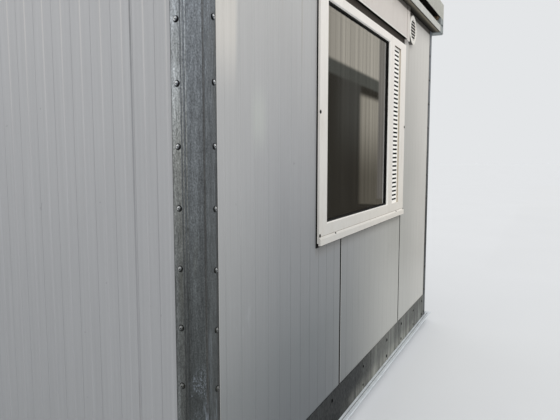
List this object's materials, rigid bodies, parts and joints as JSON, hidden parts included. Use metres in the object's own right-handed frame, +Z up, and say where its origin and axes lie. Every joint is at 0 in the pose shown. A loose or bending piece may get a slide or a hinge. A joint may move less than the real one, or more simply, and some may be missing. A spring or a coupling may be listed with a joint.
{
  "type": "portable site cabin",
  "caption": "Galvanised frame cabin with ribbed insulated panels, a window with shutter box and louvred strip, round vents and a closed rear door.",
  "frame": {"origin": "under the middle of the cabin at ground level, where the pads rest", "axes": "+Z up, +Y along the cabin's length away from the window wall, +X along the window wall"},
  "size_m": [3.44, 6.14, 2.59],
  "materials": {
    "galvanised": "dull galvanised, streaked",
    "fascia_galvanised": "pale speckled galvanised",
    "wall_paint": "light grey ribbed sheet, satin",
    "roof_paint": "light grey sheet, satin, dusty",
    "white_frame": "white profile, semi-gloss",
    "white_vent": "white moulded plastic",
    "seal": "black rubber",
    "glass": "dark clear glass",
    "box_cover": "pale grey sheet, satin",
    "dark_bar": "dark brown-grey, matt",
    "pad": "black rubber",
    "floor": "board with a grey floor covering",
    "ceiling": "white lining",
    "door_paint": "light grey steel door",
    "handle": "satin"
  },
  "bodies": {
    "root": {"base_rail_front": "galvanised", "base_rail_left": "galvanised", "base_rail_rear": "galvanised", "base_rail_right": "galvanised", "ceiling_panel": "ceiling", "corner_post_front_left": "galvanised", "corner_post_front_right": "galvanised", "corner_post_rear_left": "galvanised", "corner_post_rear_right": "galvanised", "door_frame": "door_paint", "door_handle": "handle", "door_leaf": "door_paint", "floor_deck": "floor", "floor_joists": "galvanised", "front_panel_left": "wall_paint", "front_panel_middle": "wall_paint", "front_panel_right": "wall_paint", "kick_plate_front": "galvanised", "kick_plate_rear": "galvanised", "kick_plates_sides": "galvanised", "left_wall_panels": "wall_paint", "rear_panel_left": "wall_paint", "rear_panel_over_door": "wall_paint", "rear_panel_right": "wall_paint", "right_wall_panels": "wall_paint", "roof_beam_front": "galvanised", "roof_beam_left": "galvanised", "roof_beam_rear": "galvanised", "roof_beam_right": "galvanised", "roof_corner_blocks": "galvanised", "roof_fascia_front": "fascia_galvanised", "roof_fascia_left": "galvanised", "roof_fascia_rear": "fascia_galvanised", "roof_fascia_right": "galvanised", "roof_sheet": "roof_paint", "round_vents": "white_vent", "shutter_bar": "dark_bar", "shutter_box": "box_cover", "support_pads": "pad", "vent_strip": "white_frame", "window_frame": "white_frame", "window_glass": "glass", "window_seals": "seal", "window_sill": "white_frame"}
  },
  "joints": []
}
